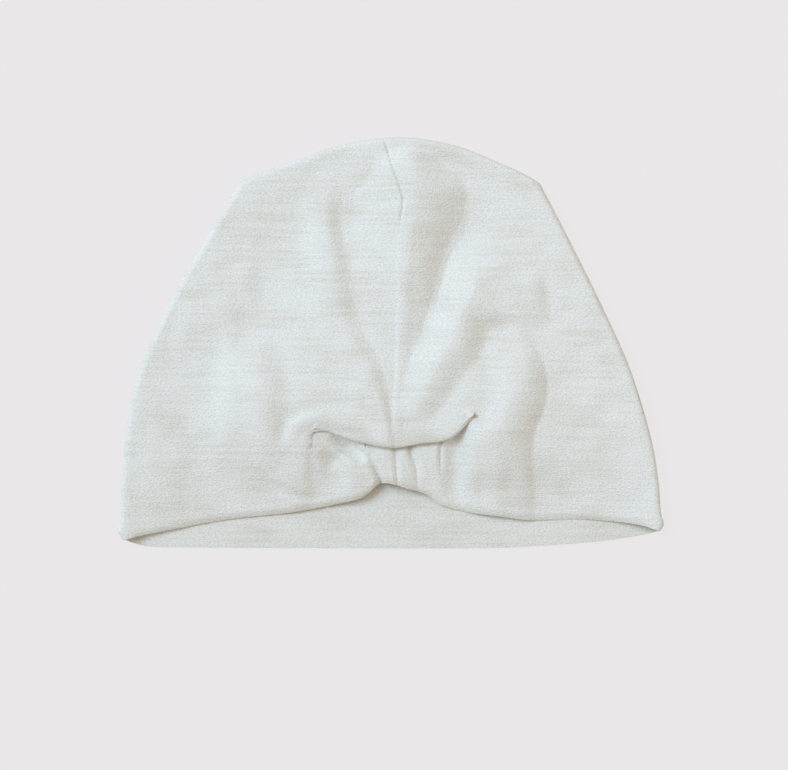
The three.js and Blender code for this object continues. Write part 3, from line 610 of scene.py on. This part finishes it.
# %% Table of pleats
PLEAT_FADE_START = 2.0
PLEAT_FADE = 4.0
PLEATS = {
    "left slit": fold("creased", "creased",
        (-11.6, -53, 0, 3.4, 3), (-9.6, -57, -1.6, 3.4, 3), (-7, -62, -3, 3.4, 3), (-5, -67, -3.4, 3.6, 3),
        (-4, -73, -3, 3.6, 3)),
    "middle slit": fold("creased", "creased",
        (1.4, -46, -1, 3, 3), (2, -50, -1.2, 3, 3), (2.6, -58, -1.4, 3, 3), (3.4, -70, -1, 3, 3)),
    "right slit": fold("creased", "creased",
        (8, -46, -2.2, 3, 4), (8.8, -49.5, -2.6, 3, 4), (10.2, -53.8, -2.4, 3.6, 4.4),
        (12.2, -59.2, -1.8, 4, 4.6), (12.7, -65, -1, 4, 4.6), (13.2, -72, -0.4, 4, 4.6)),
    "right groove": fold("even", "round",
        (31.4, -38, -3.4, 7.6, 7), (32.2, -48, -4, 8.5, 8), (32, -58, -3.4, 8.5, 8), (31.4, -65, -3, 8, 8),
        (32.4, -73, -2, 7, 8), (35, -82, -1, 6, 8)),
    "slit left of the groove": fold("creased", "creased",
        (24, -44, -1.6, 2.4, 3), (24, -52, -1.6, 2.4, 3), (24, -60, -0.8, 2.4, 3), (24, -66, 0, 2.4, 3)),
    "recess under the lip": fold("even", "even",
        (-30, -44, 0, 4, 3), (-25, -46.5, -2.4, 5, 4), (-20, -49.5, -3.6, 6, 4), (-15.5, -53.5, -2.6, 5, 4),
        (-12.5, -57.5, 0, 4, 3)),
    "rib right of the groove": fold("even", "round",
        (45, -38, 0, 8, 8), (46, -47, 1.4, 12, 9), (47, -58, 1.8, 14, 12), (47, -70, 1.9, 14, 12),
        (48, -84, 1.6, 14, 12)),
}


def pleat_heights(x, y):
    return fold_heights(x, y, PLEATS) * (1 - smooth((y - gather_y(x) - PLEAT_FADE_START) / PLEAT_FADE))


print(len(PLEATS), "slits, grooves and ribs")

# %% [markdown]
# ## Back panels
# The two halves of the back are mirror twins in the way they are worked out: hem, gather line and crown
# across, and the side and the seam along. Each row of the tables is a line up the cloth, by its share of
# the way from the side to the seam and its x at the hem, the gather and the crown. Points lie close
# together over the edge fold, where the cloth bends most.

# %% Lines up each back panel
CASING_SHARE = 0.70
SECOND_SHARE = 0.12
SECOND_INWARD = 12.5
LEFT_COLUMNS = table("share hem gather crown", [
    (0, -130.4, -128.2, -73), (SECOND_SHARE, -117, -116, -66.5), (0.36, -72, -68, -46),
    (CASING_SHARE, -5.2, -13, -20), (1, 1.8, 1, -3.9)])
RIGHT_COLUMNS = table("share hem gather crown", [
    (0, 131, 119.8, 72.6), (SECOND_SHARE, 119, 108, 66.5), (0.34, 84, 74, 52),
    (CASING_SHARE, 22.6, 24.4, 22), (1, 1.8, 1, -3.9)])
PANEL_LINES = 166
EDGE_POINTS = 6


def edge_shares(count, width, far=False):
    """Shares from 0 to 1, closer together over the edge fold at the start, or at the far end."""
    shares = [width * (1 - math.cos(i / EDGE_POINTS * math.pi / 2)) for i in range(EDGE_POINTS)]
    shares += list(np.linspace(width, 1, count - EDGE_POINTS))
    return 1 - np.array(shares[::-1]) if far else np.array(shares)


panel_shares = edge_shares(PANEL_LINES, SECOND_SHARE * EDGE_ROLL / SECOND_INWARD)
print(len(panel_shares), "lines up each back panel")

# %% [markdown]
# A back panel is laid in three bands, from the hem up: the skirt below the lip, the doubled section at the
# lip, and the field up to the crown. Over the casing the skirt is cut away, because the casing is a piece
# of its own.

# %% One back panel
SKIRT_ROWS = 54
SECTION_ROWS = 44
FIELD_ROWS = 150
SKIRT_REACH = 34.0
BEND_ROW = 2
SEAM_GRIP = 12
SIDE_GRIP = 3


def back_panel(name, columns, side_table, side_x, faces_up):
    hem_at, gather_at, crown_at = (curve(columns, "share", key) for key in ("hem", "gather", "crown"))
    gather_side = float(gather_y(gather_at(0)))

    def section_point(step, u):
        x = gather_at(u)
        doubled = gather_fold(x)
        along = mix(section_flat(step), section_back(step), doubled)
        lean = np.radians(gather_lean(x)) * doubled
        y = gather_y(x) + along * np.cos(lean)
        at_side = (side_x(gather_side + section_flat(step)) - side_x(gather_side)) * (1 - u) ** SIDE_GRIP
        at_seam = (seam_x(y) - gather_at(1)) * u**SEAM_GRIP
        return x - along * np.sin(lean) + at_side + at_seam, y

    def hem_point(u):
        x = hem_at(u) + (seam_x(back_hem_y(hem_at(1))) - hem_at(1)) * u**SEAM_GRIP
        return x, back_hem_y(x)

    def crown_point(u):
        x = crown_at(u) + (seam_x(SEAM["y"][-1]) - crown_at(1)) * u**SEAM_GRIP
        return x, crown_y(x)

    def between(edge, start, end):
        return lambda v: (edge(mix(start, end, v)), mix(start, end, v))

    one = np.ones(1)
    side_low, side_high = side_table["y"][0], side_table["y"][-1]
    skirt_seam = float(hem_point(one)[1][0]), float(section_point(0 * one, one)[1][0])
    field_seam = float(section_point(one, one)[1][0]), float(crown_point(one)[1][0])
    u = panel_shares
    skirt_v = np.linspace(0, 1, SKIRT_ROWS + 1)[:-1]
    section_v = np.linspace(0, 1, SECTION_ROWS + 1)[:-1]
    field_v = edge_shares(FIELD_ROWS, EDGE_ROLL / (field_seam[1] - field_seam[0]), far=True)
    above = pouch_height(*section_point(np.ones_like(u), u))
    below = above * (1 - gather_step(gather_at(u)))
    rows = []
    for v in skirt_v:
        x, y = patch(u, np.full_like(u, v), hem_point, lambda s: section_point(0 * s, s),
                     between(side_x, side_low, gather_side + SECTION["flat"][0]),
                     between(seam_x, *skirt_seam))
        rows.append((x, y, below * (1 - smooth((gather_y(x) + SECTION["flat"][0] - y) / SKIRT_REACH))))
    for v in section_v:
        x, y = section_point(np.full_like(u, v), u)
        rows.append((x, y, mix(below, above, section_up(v) / POUCH_TOP)))
    for v in field_v:
        x, y = patch(u, np.full_like(u, v), lambda s: section_point(0 * s + 1, s), crown_point,
                     between(side_x, gather_side + SECTION["flat"][-1], side_high),
                     between(seam_x, *field_seam))
        rows.append((x, y, pouch_height(x, y)))
    x, y, pouch = (np.array([row[i] for row in rows]) for i in range(3))
    distance = nearest(OUTLINE, x, y)[0]
    distance[:, 0] = 0.0
    distance[-1] = 0.0
    tuck_row = SKIRT_ROWS + round(BEND_ROW / (len(SECTION["step"]) - 1) * SECTION_ROWS)
    pleats = pleat_heights(x, y)
    pleats[tuck_row:] = 0.0
    points = np.stack([x, y, back_height(x, y, distance) + pouch + pleats], axis=2)
    rest = fold_up(y) * roll(distance) + pouch
    cloth = cloth_lengths(x, y, rest, SKIRT_ROWS + SECTION_ROWS, -1)
    cloth[:tuck_row] = cloth_lengths(x, y, rest, 0, -1)[:tuck_row]
    casing_column = int(np.argmin(abs(u - CASING_SHARE)))
    piece = lay_grid(name, points, cloth, faces_up=faces_up,
                     keep=lambda row, column: row > tuck_row or column < casing_column)
    thicken(piece)
    return piece, points[:tuck_row + 1, casing_column]


left_panel, left_edge = back_panel("back_left", LEFT_COLUMNS, LEFT_SIDE, left_x, faces_up=True)
right_panel, right_edge = back_panel("back_right", RIGHT_COLUMNS, RIGHT_SIDE, right_x, faces_up=False)

# %% [markdown]
# ## Gathered casing
# The casing is the stretch of hem between the two panels. Its sides are the panels' own edges, so the three
# meet. It runs in under the lip, where it lies a little lower than the cloth that comes back over it.

# %% Casing with its pleats
CASING_COLUMNS = 121
TUCK_SINK = 0.85
TUCK_SINK_REACH = 3.0


def casing():
    u = np.linspace(0, 1, CASING_COLUMNS)
    left, right = left_edge[:, None], right_edge[:, None]
    x = mix(left[..., 0], right[..., 0], u)
    share = np.linspace(0, 1, len(left))[:, None]
    line = mix(left[..., 1], right[..., 1], u)
    hem = back_hem_y(x[0]) - line[0]
    tuck = gather_y(x[-1]) + TUCK_DEPTH - line[-1]
    y = line + hem * (1 - share) + tuck * share
    distance = nearest(OUTLINE, x, y)[0]
    sink = TUCK_SINK * smooth((y - gather_y(x) + TUCK_SINK_REACH) / TUCK_SINK_REACH)
    return np.stack([x, y, back_height(x, y, distance) + pleat_heights(x, y) - sink], axis=2)


casing_points = casing()
gathered_casing = lay_grid("gathered_hem", casing_points, casing_points[..., :2])
thicken(gathered_casing)

# %% [markdown]
# ## Front layer
# The layer underneath is one piece of the same knit and lies flat on the surface. At the sides and the
# crown it curls up to meet the back in the edge fold. Only its inside shows, as a strip at the mouth.

# %% Front layer
FRONT_HALF = 90
FRONT_ROWS = 150
CURL_SHARE = 1.3 * EDGE_ROLL / CAP_WIDTH


def front_layer():
    half = edge_shares(FRONT_HALF, CURL_SHARE)
    u = np.concatenate([half / 2, 1 - half[::-1][1:] / 2])
    v = edge_shares(FRONT_ROWS, CURL_SHARE, far=True)[:, None]
    u, v = np.broadcast_arrays(u[None, :], v)

    def hem(s):
        x = mix(FRONT_HEM["x"][0], FRONT_HEM["x"][-1], s)
        return x, front_hem_y(x)

    def crown(s):
        x = mix(CROWN["x"][0], CROWN["x"][-1], s)
        return x, crown_y(x)

    def side(s, rows, side_x):
        y = mix(rows["y"][0], rows["y"][-1], s)
        return side_x(y), y

    x, y = patch(u, v, hem, crown, lambda s: side(s, LEFT_SIDE, left_x),
                 lambda s: side(s, RIGHT_SIDE, right_x))
    distance = nearest(OUTLINE, x, y)[0]
    distance[:, 0] = distance[:, -1] = distance[-1] = 0.0
    z = EDGE_ROLL * (1 - roll(distance))
    return np.stack([x, y, z], axis=2), cloth_lengths(x, y, z, 0, FRONT_HALF)


front_panel = lay_grid("front_layer", *front_layer(), faces_up=False)
thicken(front_panel)

# %% [markdown]
# ## Knit
# Slub terry is knitted from yarn of uneven thickness: short thick stretches show as faint streaks along the
# courses. Its face is a nap of fine loops with small pits between them. The pits, and the low spots between
# wisps of fuzz, are darkened with painted shade. The scales say how many pits, wisps of fuzz, slubs or
# blotches there are in a metre of cloth, across and along it.

# %% Pattern of the knit
PITS = (760, 1150, 1)
FUZZ = (640, 1300, 1)
SLUB = (26, 560, 1)
BLOTCH = (45, 70, 1)
PIT_FLOOR = 0.08
PIT_RIM = 0.42
PIT_SHARE = 0.32
FUZZ_SHARE = 1.2
BLOTCH_SHARE = 0.8


def multiplied(nodes, links, colour, by):
    """Two colours multiplied. The second is an output or a plain value."""
    shade = nodes.new("ShaderNodeMix")
    shade.data_type = "RGBA"
    shade.blend_type = "MULTIPLY"
    shade.inputs["Factor"].default_value = 1.0
    links.new(colour, shade.inputs["A"])
    if isinstance(by, tuple):
        shade.inputs["B"].default_value = by
    else:
        links.new(by, shade.inputs["B"])
    return shade.outputs["Result"]


def knit_group():
    group = bpy.data.node_groups.new("slub_terry", "ShaderNodeTree")
    group.interface.new_socket("Cloth", in_out="INPUT", socket_type="NodeSocketVector")
    group.interface.new_socket("Colour", in_out="OUTPUT", socket_type="NodeSocketColor")
    group.interface.new_socket("Height", in_out="OUTPUT", socket_type="NodeSocketFloat")
    nodes, links = group.nodes, group.links
    start, end = nodes.new("NodeGroupInput"), nodes.new("NodeGroupOutput")

    def placed(texture, scale):
        place = nodes.new("ShaderNodeMapping")
        place.inputs["Scale"].default_value = scale
        texture.inputs["Scale"].default_value = 1.0
        links.new(start.outputs["Cloth"], place.inputs["Vector"])
        links.new(place.outputs["Vector"], texture.inputs["Vector"])

    def noise_at(scale, detail):
        texture = nodes.new("ShaderNodeTexNoise")
        texture.inputs["Detail"].default_value = detail
        placed(texture, scale)
        return texture.outputs["Fac"]

    def math_node(operation, *values):
        node = nodes.new("ShaderNodeMath")
        node.operation = operation
        for socket, value in zip(node.inputs, values):
            if isinstance(value, (int, float)):
                socket.default_value = value
            else:
                links.new(value, socket)
        return node.outputs[0]

    def tones(value, *stops):
        ramp = nodes.new("ShaderNodeValToRGB")
        for element, (position, colour) in zip(ramp.color_ramp.elements, stops):
            element.position = position
            element.color = colour
        links.new(value, ramp.inputs["Fac"])
        return ramp.outputs["Color"]

    cells = nodes.new("ShaderNodeTexVoronoi")
    cells.voronoi_dimensions = "2D"
    cells.inputs["Randomness"].default_value = 1.0
    placed(cells, PITS)
    pit = nodes.new("ShaderNodeMapRange")
    pit.interpolation_type = "SMOOTHSTEP"
    pit.inputs["From Min"].default_value = PIT_FLOOR
    pit.inputs["From Max"].default_value = PIT_RIM
    pit.inputs["To Min"].default_value = 1.0
    pit.inputs["To Max"].default_value = 0.0
    links.new(cells.outputs["Distance"], pit.inputs["Value"])
    fuzz = math_node("MULTIPLY", noise_at(FUZZ, 3), FUZZ_SHARE)
    depth = math_node("MULTIPLY_ADD", pit.outputs["Result"], PIT_SHARE, fuzz)
    links.new(math_node("MULTIPLY", depth, -1.0), end.inputs["Height"])
    yarn = math_node("MULTIPLY_ADD", noise_at(BLOTCH, 2), BLOTCH_SHARE, noise_at(SLUB, 4))
    ivory = tones(yarn, (0.62, (0.795, 0.785, 0.74, 1)), (0.98, (0.865, 0.875, 0.86, 1)))
    # painted shade: the knit's colour is darker where its surface is lower, in the pits and between wisps
    # of fuzz
    pit_and_fuzz_shade = tones(depth, (0.35, (1.0, 1.0, 1.0, 1)), (1.0, (0.86, 0.856, 0.846, 1)))
    links.new(multiplied(nodes, links, ivory, pit_and_fuzz_shade), end.inputs["Colour"])
    return group


slub_terry = knit_group()
print(slub_terry.name, len(slub_terry.nodes), "nodes")

# %% [markdown]
# The face, the inside and the cut edge are the same knit. The inside is tinted a shade darker: painted
# shade for the strip of it that shows at the mouth, under the hem. The cut edge has no cloth lengths of its
# own, so its pattern is placed by the piece's own coordinates instead.

# %% Face, edge and inside
NAP_STRENGTH = 0.78
NAP_DEPTH = 0.4
# painted shade: the inside is tinted darker to stand for the shade under the hem, where its strip shows at
# the mouth
INSIDE_SHADE_TINT = (0.955, 0.945, 0.925, 1)


def knit_material(name, on_edge=False, tint=None):
    material = bpy.data.materials.new(name)
    material.use_nodes = True
    nodes, links = material.node_tree.nodes, material.node_tree.links
    shader = nodes["Principled BSDF"]
    shader.inputs["Roughness"].default_value = 0.95
    shader.inputs["Specular IOR Level"].default_value = 0.15
    knit = nodes.new("ShaderNodeGroup")
    knit.node_tree = slub_terry
    if on_edge:
        place = nodes.new("ShaderNodeTexCoord")
        parts = nodes.new("ShaderNodeSeparateXYZ")
        cloth = nodes.new("ShaderNodeCombineXYZ")
        links.new(place.outputs["Object"], parts.inputs["Vector"])
        links.new(parts.outputs["X"], cloth.inputs["X"])
        links.new(parts.outputs["Z"], cloth.inputs["Y"])
        links.new(cloth.outputs["Vector"], knit.inputs["Cloth"])
    else:
        cloth = nodes.new("ShaderNodeUVMap")
        cloth.uv_map = "cloth"
        links.new(cloth.outputs["UV"], knit.inputs["Cloth"])
    bump = nodes.new("ShaderNodeBump")
    bump.inputs["Strength"].default_value = NAP_STRENGTH
    bump.inputs["Distance"].default_value = NAP_DEPTH * MM
    links.new(knit.outputs["Height"], bump.inputs["Height"])
    links.new(bump.outputs["Normal"], shader.inputs["Normal"])
    colour = knit.outputs["Colour"]
    if tint is not None:
        colour = multiplied(nodes, links, colour, tint)
    links.new(colour, shader.inputs["Base Color"])
    return material


ivory_knit = knit_material("ivory_knit")
ivory_edge = knit_material("ivory_knit_edge", on_edge=True)
ivory_inside_shaded = knit_material("ivory_knit_inside_shaded", tint=INSIDE_SHADE_TINT)
print("finishes", ivory_knit.name, ivory_edge.name, ivory_inside_shaded.name)

# %% [markdown]
# ## Dressing the model
# Each piece stands for one solid of the measured model and rides on it: it takes its finishes, hangs from
# the body, and the solid is hidden. The table also gives the area in square metres that each was cut to,
# and how it is held. None was cut as a rectangle, so its size is given as a strip of the same area.

# %% Pieces and their solids
for piece, node, area, held, face in (
    (front_panel, "front_panel", 0.0425, "laid", ivory_inside_shaded),
    (left_panel, "back_left_panel", 0.0245, "gathered", ivory_knit),
    (right_panel, "back_right_panel", 0.0235, "gathered", ivory_knit),
    (gathered_casing, "gathered_casing", 0.0016, "gathered", ivory_knit),
):
    piece.data.materials.append(face)
    piece.data.materials.append(ivory_edge)
    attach(piece, "root")
    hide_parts(node)
    print(piece.name, "stands for", node)
